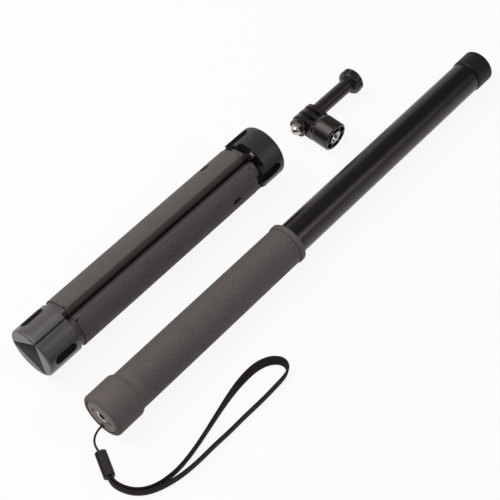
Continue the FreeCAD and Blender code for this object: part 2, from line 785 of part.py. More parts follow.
def make_adapter():
    """Three-finger mount with a camera socket, held by a thumb screw and an acorn nut."""
    barrel, hollow, insert = make_barrel()
    block_low = -finger_face
    block_end = barrel_start + barrel_shoulder + block_into_barrel
    block = Part.makeBox(block_end - finger_root, 2 * finger_face, 2 * finger_r,
                         at(finger_root, block_low, -finger_r))
    long_edges = [e for e in block.Edges if abs(e.Vertexes[0].X - e.Vertexes[1].X) > 1]
    block = block.makeFillet(body_round, long_edges)
    body = barrel.fuse(block)
    for number in (-1, 0, 1):
        low = number * finger_pitch - finger_thick / 2
        eye = along_y(finger_r, low, low + finger_thick)
        web = Part.makeBox(finger_root + body_round, finger_thick, 2 * finger_r, at(0, low, -finger_r))
        body = body.fuse(eye.fuse(web))
    boss_end = block_low - nut_boss_length
    body = body.fuse(along_y(nut_boss_r, boss_end, block_low)).removeSplitter()
    body = body.cut(hollow)
    body = body.cut(along_y(bolt_r + running_fit, boss_end - past, finger_face + past))
    body = body.cut(hexagon(nut_flat + press_fit, boss_end - past, boss_end + nut_pocket))
    keep_on_adapter("adapter_body", body)
    keep_on_adapter("socket_insert", insert)

    nut_end = boss_end + nut_pocket
    hex_end = nut_end - nut_hex_length
    nut = hexagon(nut_flat, hex_end, nut_end)
    crown = Part.makeSphere(nut_crown_r, at(0, hex_end + nut_crown_at, 0))
    nut = nut.common(crown.fuse(along_y(nut_crown_r, boss_end, nut_end)))
    dome = Part.makeSphere(nut_dome_r, at(0, hex_end, 0))
    nut = nut.fuse(dome).removeSplitter()
    nut = nut.cut(along_y(nut_dome_r * 2, nut_end, nut_end + nut_dome_r))
    bolt_start = hex_end - nut_dome_r + nut_wall
    nut = nut.cut(along_y(bolt_r + running_fit, bolt_start, nut_end + past))
    keep_on_adapter("acorn_nut", nut)

    sleeve_start = finger_face + body_gap
    knob_start = sleeve_start + sleeve_length
    knob_end = knob_start + knob_thick
    knob = turned([
        (0, knob_start), (knob_r - knob_edge, knob_start), (knob_r, knob_start + knob_edge),
        (knob_r, knob_end - knob_edge), (knob_r - knob_edge, knob_end), (0, knob_end)])
    for notch in range(knob_notches):
        cutter = disc(knob_notch_r, knob_start - past, knob_end + past)
        cutter.translate(polar(knob_r + knob_notch_r - knob_notch_depth,
                               360 / knob_notches * (notch + 0.5)))
        knob = knob.cut(cutter)
    stem = disc(sleeve_r, sleeve_start, knob_start + past)
    foot = disc(sleeve_foot_r, knob_start - sleeve_foot, knob_start + past)
    knob = knob.fuse([stem, foot]).removeSplitter()
    bolt_end = knob_start + bolt_into_knob
    knob = knob.cut(disc(bolt_r + press_fit, sleeve_start - past, bolt_end))
    knob.rotate(centre, right, -90)
    keep_on_adapter("thumb_knob", knob)
    keep_on_adapter("clamp_bolt", along_y(bolt_r, bolt_start + body_gap, bolt_end))


# Wrist strap route, from the pole's axis and butt face: a hand-picked list along the table
clasp_start = (10.4, -12.5)
clasp_end = (26.0, -20.3)
string_route = [
    (0.0, strap_pin_depth, pole_z - eyelet_at), (0.0, -1.4, pole_z - eyelet_at),
    (0.5, -5.8, 5.1), (2.4, -9.6, 4.0), (5.9, -11.9, 3.1), (10.3, -12.8, 3.0),
    (14.6, -14.3, 3.0), (18.5, -16.4, 3.0)]
strap_route = [
    (22.9, -17.8), (28.3, -20.6), (34.7, -20.1), (41.5, -17.3), (46.8, -12.1), (50.2, -4.9),
    (51.7, 3.7), (51.9, 12.0), (50.7, 22.7), (48.0, 36.6), (44.6, 51.4), (41.5, 66.0),
    (39.9, 78.5), (39.9, 90.3), (42.8, 99.2), (47.5, 104.0), (51.8, 105.0), (55.6, 103.2),
    (57.6, 98.6), (58.1, 89.0), (58.3, 75.0), (57.8, 61.0), (57.9, 48.0), (57.3, 34.8),
    (57.3, 22.0), (56.6, 11.4), (55.0, 2.9), (52.4, -5.8), (48.4, -13.3), (42.5, -18.9),
    (35.1, -21.9), (28.0, -22.4), (22.1, -19.3)]


def rounded_path(points):
    """Straight runs joined by tangent arcs as large as the runs allow, and their radii."""
    edges = []
    radii = []
    start = points[0]
    for before, corner, after in zip(points, points[1:], points[2:]):
        into = corner - before
        out = after - corner
        half_turn = into.getAngle(out) / 2
        reach = 0.45 * min(into.Length, out.Length)
        radii.append(reach / math.tan(half_turn))
        into.normalize()
        out.normalize()
        arc_start = corner - into * reach
        arc_end = corner + out * reach
        inward = (out - into).normalize()
        middle = corner + inward * (radii[-1] / math.cos(half_turn) - radii[-1])
        edges.append(Part.makeLine(start, arc_start))
        edges.append(Part.Arc(arc_start, middle, arc_end).toShape())
        start = arc_end
    edges.append(Part.makeLine(start, points[-1]))
    return Part.Wire(edges), radii


def swept(name, points, section, area):
    """Sweeps a section along a rounded route and prints how its volume compares."""
    path, radii = rounded_path(points)
    solid = path.makePipeShell([section], True, False)
    print("%s: %.1f mm long, tightest radius %.2f mm, volume over section times length %.4f" % (
        name, path.Length, min(radii), solid.Volume / (area * path.Length)))
    return solid


def make_strap():
    """Thin string from the butt, a crimped clasp and a flat strap that comes back to it."""
    string_points = [at(pole_x + x, pole_y + y, z) for x, y, z in string_route]
    circle = Part.Wire(Part.makeCircle(string_r, string_points[0], away))
    string = swept("strap_string", string_points, circle, math.pi * string_r ** 2)
    strap_z = strap_lift + strap_width / 2
    strap_points = [at(pole_x + x, pole_y + y, strap_z) for x, y in strap_route]
    heading = (strap_points[1] - strap_points[0]).normalize()
    side = heading.cross(up) * (strap_thick / 2)
    rise = up * (strap_width / 2)
    first = strap_points[0]
    corners = [first + side + rise, first - side + rise, first - side - rise, first + side - rise]
    band = swept("strap_loop", strap_points, Part.makePolygon(corners + [corners[0]]),
                 strap_thick * strap_width)

    start = at(pole_x + clasp_start[0], pole_y + clasp_start[1], 0)
    end = at(pole_x + clasp_end[0], pole_y + clasp_end[1], 0)
    along = (end - start).normalize()
    half = clasp_width / 2
    cut = clasp_corner
    outline = [(-half, cut), (-half + cut, 0), (half - cut, 0), (half, cut),
               (half, clasp_height - cut), (half - cut, clasp_height),
               (-half + cut, clasp_height), (-half, clasp_height - cut)]
    across = up.cross(along)
    corners = [start + across * u + up * v for u, v in outline]
    block = Part.Face(Part.makePolygon(corners + [corners[0]])).extrude(along * clasp_length)
    ends = [e for e in block.Edges if abs(e.tangentAt(e.FirstParameter).dot(along)) < 0.01]
    clasp = block.makeChamfer(clasp_edge, ends)
    clasp = clasp.cut(string).cut(band)
    keep("strap_string", string)
    keep("strap_clasp", clasp)
    keep("strap_loop", band)


def write_parts():
    os.makedirs("parts", exist_ok=True)
    for name in sorted(parts):
        shape = parts[name]
        solids = shape.Solids
        note = "" if shape.isValid() else " NOT VALID"
        print("%-18s %2d solid(s) %10.2f mm3%s" % (name, len(solids), shape.Volume, note))
        solid = solids[0] if len(solids) == 1 else Part.makeCompound(solids)
        solid.exportStep("parts/%s.step" % name)


keep_on_pole("rubber_grip", make_grip())
make_butt()
make_telescope()
make_head()
make_legs()
make_hub()
make_adapter()
make_strap()
write_parts()
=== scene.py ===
"""Looks of a selfie stick set: its finishes, wrist strap, marks, light and camera.

The set lies on a table: a telescopic pole with a wrist strap, a folded mini tripod beside it and an
action-camera adapter behind the tripod. Metres, +Y along the pole from butt to head, +Z up.
"""

import json
import logging
import math
from dataclasses import dataclass
from enum import Enum

import bmesh
import bpy
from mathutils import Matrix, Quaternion, Vector

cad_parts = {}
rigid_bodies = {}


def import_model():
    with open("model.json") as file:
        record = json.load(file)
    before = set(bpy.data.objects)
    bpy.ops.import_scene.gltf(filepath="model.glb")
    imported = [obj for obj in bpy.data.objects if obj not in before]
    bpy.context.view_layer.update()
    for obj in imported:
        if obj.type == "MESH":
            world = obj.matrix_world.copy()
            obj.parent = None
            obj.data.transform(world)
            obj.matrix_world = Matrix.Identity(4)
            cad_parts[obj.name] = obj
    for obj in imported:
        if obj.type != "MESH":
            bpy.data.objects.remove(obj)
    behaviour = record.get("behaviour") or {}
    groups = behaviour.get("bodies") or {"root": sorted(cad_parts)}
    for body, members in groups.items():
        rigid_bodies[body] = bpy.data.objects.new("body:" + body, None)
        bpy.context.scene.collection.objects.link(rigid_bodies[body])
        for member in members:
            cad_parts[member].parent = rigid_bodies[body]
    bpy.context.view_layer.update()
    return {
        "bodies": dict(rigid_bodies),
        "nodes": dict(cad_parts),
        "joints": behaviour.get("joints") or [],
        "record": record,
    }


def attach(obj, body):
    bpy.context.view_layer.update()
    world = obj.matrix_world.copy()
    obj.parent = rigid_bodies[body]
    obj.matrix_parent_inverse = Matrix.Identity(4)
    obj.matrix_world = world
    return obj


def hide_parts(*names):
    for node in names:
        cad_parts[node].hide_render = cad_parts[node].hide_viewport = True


log = logging.getLogger("selfie_stick")

MM = 0.001
UP = Vector((0.0, 0.0, 1.0))
WHITE = (1.0, 1.0, 1.0, 1.0)

# Sockets that are told apart by number, because a node has several under one name: the two values that
# a Mix node mixes, as numbers or as colours, and the ranges that a Map Range node reads and gives.
FIRST_NUMBER, SECOND_NUMBER = 2, 3
FIRST_COLOUR, SECOND_COLOUR = 6, 7
FROM_LOW, FROM_HIGH, TO_LOW, TO_HIGH = 1, 2, 3, 4

# How many finer layers of noise each pattern has, how strong they are in the patches of colour, and how
# many rays round off an edge.
GRAIN_DETAIL = 3.0
LINE_DETAIL = 2.0
GLOSS_DETAIL = 2.0
FIBRE_DETAIL = 2.0
PATCH_DETAIL = 4.0
PATCH_ROUGHNESS = 0.6
EDGE_SAMPLES = 4

# A ping-pong over half a step rises from zero to a half and falls again, so twice that is a share.
HALF_STEP = 0.5
TO_SHARE = 2.0


def linear(code: str) -> tuple[float, float, float, float]:
    """Turns an sRGB hex code into a linear colour.

    Args:
        code: six hex digits after a hash.

    Returns:
        Red, green, blue and an alpha of one.
    """
    parts = [int(code[k:k + 2], 16) / 255 for k in (1, 3, 5)]
    red, green, blue = (c / 12.92 if c <= 0.04045 else ((c + 0.055) / 1.055) ** 2.4 for c in parts)
    return red, green, blue, 1.0


class Axis(Enum):
    """Which way a threaded piece lies, and which way is square to it on the table."""

    ALONG = ("Y", "X")
    ACROSS = ("X", "Y")


class Toward(Enum):
    """Where painted shade darkens a piece: near an axis that lies along +Y, or away from a face across
    +Y.
    """

    AXIS = (1.0, 0.0, 1.0)
    INSIDE = (0.0, 1.0, 0.0)


class Graph:
    """The node tree of one material.

    Attributes:
        material: the material that the tree belongs to.
        tree: its nodes and links.
        spot: the place on the piece, in metres in the row frame.
        unrolled: the place on the piece's UV map.
    """

    def __init__(self, name: str) -> None:
        """Starts a tree in a new material.

        Args:
            name: the material's name.
        """
        self.material = bpy.data.materials.new(name)
        self.material.use_nodes = True
        self.tree = self.material.node_tree
        self.tree.nodes.clear()
        place = self.add("TexCoord")
        self.spot = place.outputs["Object"]
        self.unrolled = place.outputs["UV"]

    def add(self, kind: str, inputs: dict[int | str, object] | None = None,
            **settings: object) -> bpy.types.Node:
        """Adds one node with its settings, values and links.

        Args:
            kind: the node's type without its ShaderNode prefix.
            inputs: socket names or numbers, each with a value, a socket, or a node whose first output in
                use goes in.
            settings: attributes of the node.

        Returns:
            The new node.
        """
        node = self.tree.nodes.new(f"ShaderNode{kind}")
        for key, value in settings.items():
            setattr(node, key, value)
        for key, value in (inputs or {}).items():
            if isinstance(value, bpy.types.Node):
                value = next(output for output in value.outputs if output.enabled)
            if isinstance(value, bpy.types.NodeSocket):
                self.tree.links.new(value, node.inputs[key])
            else:
                node.inputs[key].default_value = value
        return node


@dataclass(frozen=True)
class PaintedShade:
    """Painted shade: black laid over a piece in its slots, grooves and holes, where shade falls.

    Attributes:
        toward: where the piece gets dark.
        centre: a point on the axis or on the face, in millimetres.
        black_at: distance from it where the piece is black, in millimetres.
        clean_at: distance where its own colour begins, in millimetres.
        black: hex code of the black.
    """

    toward: Toward
    centre: tuple[float, float, float]
    black_at: float
    clean_at: float
    black: str = "#070606"

    def over(self, graph: Graph, colour: bpy.types.Node) -> bpy.types.Node:
        """Blackens a colour by its distance from the centre.

        Args:
            graph: the material's tree.
            colour: the node that gives the clean colour.

        Returns:
            The node that gives the shaded colour.
        """
        centre = tuple(c * MM for c in self.centre)
        offset = graph.add("VectorMath", {0: graph.spot, 1: centre}, operation="SUBTRACT")
        kept = graph.add("VectorMath", {0: offset, 1: self.toward.value}, operation="MULTIPLY")
        reach = graph.add("VectorMath", {0: kept}, operation="LENGTH")
        clean = graph.add("MapRange", {0: reach, FROM_LOW: self.black_at * MM,
                                       FROM_HIGH: self.clean_at * MM})
        return graph.add("Mix", {0: clean, FIRST_COLOUR: linear(self.black), SECOND_COLOUR: colour},
                         data_type="RGBA")


@dataclass(frozen=True)
class Finish:
    """A real material with its surface, as one set of numbers.

    Attributes:
        name: the material's name.
        colour: hex code of its clean patches.
        worn: hex code of its worn patches.
        roughness: how dull it is on average.
        gloss_spread: share by which its patches are duller or glossier than that.
        ior: its index of refraction, where it isn't a metal.
        metallic: one for a metal.
        grain: width of its finest bumps, in millimetres.
        grain_height: their height, in millimetres.
        mottle: width of its patches, in millimetres.
        edge: radius that its edges seem rounded to, in millimetres.
        specular: strength of its reflections, where it isn't a metal.
        sheen: hex code of their tint.
        painted_shade: painted shade, black laid into its slots, grooves and holes.
    """

    name: str
    colour: str
    worn: str
    roughness: float
    gloss_spread: float = 0.12
    ior: float = 1.5
    metallic: float = 0.0
    grain: float = 0.35
    grain_height: float = 0.02
    mottle: float = 9.0
    edge: float = 0.0
    specular: float = 0.5
    sheen: str = "#fff1ee"
    painted_shade: PaintedShade | None = None

    def relief(self, graph: Graph) -> bpy.types.Node:
        """Height of the surface's grain.

        Args:
            graph: the material's tree.

        Returns:
            The node that gives a height in metres.
        """
        noise = graph.add("TexNoise", {"Vector": graph.spot, "Scale": 1 / (self.grain * MM),
                                       "Detail": GRAIN_DETAIL})
        return graph.add("Math", {0: noise, 1: self.grain_height * MM}, operation="MULTIPLY")

    def tint(self, graph: Graph) -> bpy.types.Node:
        """Colour with soft patches between clean and worn.

        Args:
            graph: the material's tree.

        Returns:
            The node that gives the colour.
        """
        patches = graph.add("TexNoise", {"Vector": graph.spot, "Scale": 1 / (self.mottle * MM),
                                         "Detail": PATCH_DETAIL, "Roughness": PATCH_ROUGHNESS})
        return graph.add("Mix", {0: patches, FIRST_COLOUR: linear(self.colour),
                                 SECOND_COLOUR: linear(self.worn)}, data_type="RGBA")

    def gloss(self, graph: Graph) -> bpy.types.Node:
        """Roughness that is a little higher in some patches than in others.

        Args:
            graph: the material's tree.

        Returns:
            The node that gives the roughness.
        """
        patches = graph.add("TexNoise", {"Vector": graph.spot, "Scale": 1 / (self.mottle * MM),
                                         "Detail": GLOSS_DETAIL})
        return graph.add("MapRange", {0: patches, TO_LOW: self.roughness * (1 - self.gloss_spread),
                                      TO_HIGH: self.roughness * (1 + self.gloss_spread)})

    def build(self) -> bpy.types.Material:
        """Makes the material.

        Returns:
            A new material under the finish's name.
        """
        graph = Graph(self.name)
        base = {"Height": self.relief(graph), "Distance": 1.0, "Strength": 1.0}
        if self.edge:
            base["Normal"] = graph.add("Bevel", {"Radius": self.edge * MM}, samples=EDGE_SAMPLES)
        bump = graph.add("Bump", base)
        colour = self.tint(graph)
        # Painted shade: black laid over the colour in its slots, grooves and holes.
        if self.painted_shade:
            colour = self.painted_shade.over(graph, colour)
        values = {"Base Color": colour, "Roughness": self.gloss(graph), "Normal": bump,
                  "Metallic": self.metallic}
        if not self.metallic:
            values["IOR"] = self.ior
            values["Specular IOR Level"] = self.specular
            values["Specular Tint"] = linear(self.sheen)
        shader = graph.add("BsdfPrincipled", values)
        graph.add("OutputMaterial", {"Surface": shader})
        return graph.material


@dataclass(frozen=True)
class KnurledRubber(Finish):
    """Rubber moulded with small diamonds round an axis that lies along +Y.

    Attributes:
        axis_x: where the axis lies, in millimetres.
        axis_z: how high it lies, in millimetres.
        rows: how many diamonds go once round the piece.
        radius: the piece's radius, in millimetres.
        start: where the diamonds begin along +Y, in millimetres; the default is past every piece.
        end: where they end.
        groove: depth of the grooves between them, in millimetres.
        plain: height of the smooth rubber beside them, as a share of that depth.
        groove_shade: what the colour is multiplied by in a groove, as painted shade.
        crest_light: what it is multiplied by on a crest, as painted light.
    """

    axis_x: float = 0.0
    axis_z: float = 0.0
    rows: int = 40
    radius: float = 13.55
    start: float = -1000.0
    end: float = 1000.0
    groove: float = 0.22
    plain: float = 0.45
    groove_shade: float = 0.55
    crest_light: float = 1.15

    def pattern(self, graph: Graph) -> bpy.types.Node:
        """Little pyramids between two sets of slanting grooves.

        Args:
            graph: the material's tree.

        Returns:
            The node that gives a share from zero in a groove to one on a crest.
        """
        spot = graph.add("SeparateXYZ", {0: graph.spot})
        side = graph.add("Math", {0: spot.outputs["X"], 1: self.axis_x * MM}, operation="SUBTRACT")
        height = graph.add("Math", {0: spot.outputs["Z"], 1: self.axis_z * MM}, operation="SUBTRACT")
        angle = graph.add("Math", {0: height, 1: side}, operation="ARCTAN2")
        turns = graph.add("Math", {0: angle, 1: self.rows / (2 * math.pi)}, operation="MULTIPLY")
        pitch = 2 * math.pi * self.radius * MM / self.rows
        steps = graph.add("Math", {0: spot.outputs["Y"], 1: pitch}, operation="DIVIDE")
        crests = []
        for operation in ("ADD", "SUBTRACT"):
            slant = graph.add("Math", {0: steps, 1: turns}, operation=operation)
            crests.append(graph.add("Math", {0: slant, 1: HALF_STEP}, operation="PINGPONG"))
        low = graph.add("Math", {0: crests[0], 1: crests[1]}, operation="MINIMUM")
        share = graph.add("Math", {0: low, 1: TO_SHARE}, operation="MULTIPLY")
        after = graph.add("Math", {0: spot.outputs["Y"], 1: self.start * MM}, operation="GREATER_THAN")
        before = graph.add("Math", {0: spot.outputs["Y"], 1: self.end * MM}, operation="LESS_THAN")
        inside = graph.add("Math", {0: after, 1: before}, operation="MULTIPLY")
        return graph.add("Mix", {0: inside, FIRST_NUMBER: self.plain, SECOND_NUMBER: share})

    def relief(self, graph: Graph) -> bpy.types.Node:
        """Diamonds over the moulded grain, as a height in metres."""
        crests = graph.add("Math", {0: self.pattern(graph), 1: self.groove * MM}, operation="MULTIPLY")
        return graph.add("Math", {0: crests, 1: super().relief(graph)}, operation="ADD")

    def tint(self, graph: Graph) -> bpy.types.Node:
        """The rubber's colour, with painted shade darkening the grooves and painted light brightening
        the crests.

        Args:
            graph: the material's tree.

        Returns:
            The node that gives the colour.
        """
        tone = graph.add("MapRange", {0: self.pattern(graph), TO_LOW: self.groove_shade,
                                      TO_HIGH: self.crest_light})
        return graph.add("Mix", {0: 1.0, FIRST_COLOUR: super().tint(graph), SECOND_COLOUR: tone},
                         data_type="RGBA", blend_type="MULTIPLY")


@dataclass(frozen=True)
class DrawnTube(Finish):
    """Drawn aluminium under its anodising, with faint lines along its length.

    Attributes:
        stretch: the lines' width as a share of their length.
    """

    stretch: float = 0.012

    def relief(self, graph: Graph) -> bpy.types.Node:
        """Fine lines that run along +Y.

        Args:
            graph: the material's tree.

        Returns:
            The node that gives a height in metres.
        """
        spot = graph.add("VectorMath", {0: graph.spot, 1: (1.0, self.stretch, 1.0)},
                         operation="MULTIPLY")
        lines = graph.add("TexNoise", {"Vector": spot, "Scale": 1 / (self.grain * MM),
                                       "Detail": LINE_DETAIL})
        return graph.add("Math", {0: lines, 1: self.grain_height * MM}, operation="MULTIPLY")


@dataclass(frozen=True)
class ThreadedMetal(Finish):
    """Turned metal with a screw thread round one axis.

    Attributes:
        axis: which way the thread's axis lies.
        centre: a point on the axis, in millimetres.
        pitch: length of one turn, in millimetres; a quarter-inch thread has twenty to the inch.
        thread: depth of the thread, in millimetres.
    """

    axis: Axis = Axis.ALONG
    centre: tuple[float, float, float] = (0.0, 0.0, 0.0)
    pitch: float = 1.27
    thread: float = 0.5

    def relief(self, graph: Graph) -> bpy.types.Node:
        """A helix over the turned grain.

        Args:
            graph: the material's tree.

        Returns:
            The node that gives a height in metres.
        """
        along, across = self.axis.value
        centre = tuple(c * MM for c in self.centre)
        local = graph.add("VectorMath", {0: graph.spot, 1: centre}, operation="SUBTRACT")
        spot = graph.add("SeparateXYZ", {0: local})
        angle = graph.add("Math", {0: spot.outputs["Z"], 1: spot.outputs[across]}, operation="ARCTAN2")
        turn = graph.add("Math", {0: angle, 1: 1 / (2 * math.pi)}, operation="MULTIPLY")
        steps = graph.add("Math", {0: spot.outputs[along], 1: self.pitch * MM}, operation="DIVIDE")
        helix = graph.add("Math", {0: steps, 1: turn}, operation="ADD")
        crest = graph.add("Math", {0: helix, 1: HALF_STEP}, operation="PINGPONG")
        rise = graph.add("Math", {0: crest, 1: TO_SHARE * self.thread * MM}, operation="MULTIPLY")
        return graph.add("Math", {0: rise, 1: super().relief(graph)}, operation="ADD")


@dataclass(frozen=True)
class WovenNylon(Finish):
    """Nylon webbing whose rows slant across the band, read from its UV map in millimetres.

    Attributes:
        row: length of one row along the band, in millimetres.
        weave: height of a row over the gap beside it, in millimetres.
    """

    row: float = 1.7
    weave: float = 0.3

    def rows(self, graph: Graph) -> bpy.types.Node:
        """Slanting rows that change hand at the band's middle.

        Args:
            graph: the material's tree.

        Returns:
            The node that gives a share from zero between the rows to one on them.
        """
        place = graph.add("SeparateXYZ", {0: graph.unrolled})
        fold = graph.add("Math", {0: place.outputs["Y"]}, operation="ABSOLUTE")
        slant = graph.add("Math", {0: place.outputs["X"], 1: fold}, operation="ADD")
        row = graph.add("Math", {0: slant, 1: self.row}, operation="DIVIDE")
        wave = graph.add("Math", {0: row, 1: HALF_STEP}, operation="PINGPONG")
        return graph.add("Math", {0: wave, 1: TO_SHARE}, operation="MULTIPLY")

    def relief(self, graph: Graph) -> bpy.types.Node:
        """Rows over the yarn's grain, as a height in metres."""
        rise = graph.add("Math", {0: self.rows(graph), 1: self.weave * MM}, operation="MULTIPLY")
        return graph.add("Math", {0: rise, 1: super().relief(graph)}, operation="ADD")

    def tint(self, graph: Graph) -> bpy.types.Node:
        """The yarn's colour on the rows, with painted shade darkening the gaps between them."""
        return graph.add("Mix", {0: self.rows(graph), FIRST_COLOUR: linear(self.worn),
                                 SECOND_COLOUR: linear(self.colour)}, data_type="RGBA")


def dress(nodes: dict[str, bpy.types.Object], names: list[str], material: bpy.types.Material) -> None:
    """Puts a material on CAD nodes.

    Args:
        nodes: the CAD nodes by name.
        names: the nodes to dress.
        material: what they are made of.
    """
    for name in names:
        for holder in nodes[name].material_slots:
            holder.material = material
        log.info("dressed %s in %s", name, material.name)


def show(name: str, shape: bpy.types.Mesh | bpy.types.Curve,
         material: bpy.types.Material) -> bpy.types.Object:
    """Links a new piece to the scene.

    Args:
        name: the piece's name.
        shape: its mesh or curve.
        material: what it is made of.

    Returns:
        The new object.
    """
    shape.materials.append(material)
    piece = bpy.data.objects.new(name, shape)
    bpy.context.scene.collection.objects.link(piece)
    log.info("built %s", name)
    return piece


def meshed(name: str, shape: bmesh.types.BMesh) -> bpy.types.Mesh:
    """Turns an edited shape into a mesh and frees it.

    Args:
        name: the mesh's name.
        shape: the edited shape.

    Returns:
        The mesh.
    """
    mesh = bpy.data.meshes.new(name)
    shape.to_mesh(mesh)
    shape.free()
    return mesh


@dataclass
class Pole:
    """Telescopic pole with its grip, butt, sections and head; sizes in millimetres.

    Attributes:
        axis_x: where its axis lies.
        axis_z: how high its axis lies.
        butt_y: where its butt face lies.
        texture_start: distance from the butt face to the first of the grip's diamonds.
        texture_end: distance from the butt face to the last of them.
        grip_r: radius of the grip.
        diamonds: how many of them go round it.
    """

    axis_x: float = 31.75
    axis_z: float = 15.2
    butt_y: float = -187.5
    texture_start: float = 27.5
    texture_end: float = 163.1
    grip_r: float = 13.55
    diamonds: int = 40

    def dress(self, nodes: dict[str, bpy.types.Object]) -> None:
        """Gives every piece of the pole its material.

        Args:
            nodes: the CAD nodes by name.
        """
        # Thermoplastic rubber, moulded: matte warm grey with fine diamonds where the hand holds it.
        # The real diamonds are about 1 mm; they are drawn at 1.5 mm so that they show.
        grip = KnurledRubber(
            "thermoplastic_rubber_diamond_moulded", "#645d5c", "#5a5453", roughness=0.72, grain=0.25,
            grain_height=0.01, axis_x=self.axis_x, axis_z=self.axis_z, rows=self.diamonds,
            radius=self.grip_r, start=self.butt_y + self.texture_start,
            end=self.butt_y + self.texture_end)
        # Aluminium, drawn and black anodised: near black with long soft reflections.
        tube = DrawnTube(
            "aluminium_drawn_black_anodised", "#040202", "#050403", roughness=0.32, grain=0.12,
            grain_height=0.0006, specular=0.52)
        # Aluminium, drawn and satin anodised: the hidden sections, a little greyer than the outer tube.
        section = DrawnTube(
            "aluminium_drawn_satin_anodised", "#4a4848", "#3e3c3c", roughness=0.35, metallic=1.0,
            grain=0.12, grain_height=0.0008)
        # ABS, moulded with a fine spark texture: pinkish grey plug, with painted shade black down in its
        # holes.
        butt = (self.axis_x, self.butt_y, self.axis_z)
        plug = Finish(
            "abs_spark_textured_butt", "#7a6e6a", "#6c625e", roughness=0.6, grain=0.3,
            grain_height=0.012, edge=0.3,
            painted_shade=PaintedShade(Toward.INSIDE, butt, black_at=0.6, clean_at=0.3))
        # ABS, moulded: black ring whose crisp ribs catch the light, with painted shade black in the
        # grooves between them.
        collar = Finish(
            "abs_moulded_black_collar", "#1d1a19", "#171413", roughness=0.42, grain=0.3,
            grain_height=0.01, specular=0.4,
            painted_shade=PaintedShade(Toward.AXIS, butt, black_at=11.5, clean_at=11.75))
        # Acetal, moulded: slippery black bushes and brakes that run on the tubes.
        acetal = Finish(
            "acetal_moulded_black", "#0a0909", "#0f0d0d", roughness=0.6, ior=1.48, grain=0.4,
            grain_height=0.008, specular=0.2)
        # Steel, turned and nickel plated: bright insert with a quarter-inch thread, with painted shade
        # dark down its hole.
        insert = ThreadedMetal(
            "steel_nickel_plated_insert", "#d9d4cd", "#c6c0b8", roughness=0.2, metallic=1.0, grain=0.2,
            grain_height=0.003, centre=butt,
            painted_shade=PaintedShade(Toward.INSIDE, butt, black_at=2.0, clean_at=1.2))
        # The same steel and plating, a little duller on the stud at the head and on the strap's pin.
        stud = ThreadedMetal(
            "steel_nickel_plated_stud", "#cfcac3", "#bdb7af", roughness=0.24, metallic=1.0, grain=0.2,
            grain_height=0.003, centre=butt)
        # Nitrile rubber, cut from sheet: soft dull black pad.
        pad = Finish("nitrile_rubber_sheet_pad", "#1b1a1a", "#242323", roughness=0.85, grain=0.2)
        dress(nodes, ["rubber_grip"], grip.build())
        dress(nodes, ["outer_tube"], tube.build())
        dress(nodes, ["mid_tube", "inner_tube"], section.build())
        dress(nodes, ["butt_plug"], plug.build())
        dress(nodes, ["knurled_collar"], collar.build())
        dress(nodes, ["outer_bush", "mid_bush", "mid_brake", "inner_brake", "mid_spigot",
                      "inner_spigot", "head_plug"], acetal.build())
        dress(nodes, ["butt_insert"], insert.build())
        dress(nodes, ["head_stud", "strap_pin"], stud.build())
        dress(nodes, ["head_pad"], pad.build())


@dataclass(frozen=True)
class Dot:
    """A small white dot on the lock ring, in millimetres.

    Attributes:
        across: distance from the middle of the ring's upper tab, round the ring.
        along: distance from the hub's rim, along the tripod.
        radius: its radius.
    """

    across: float
    along: float
    radius: float


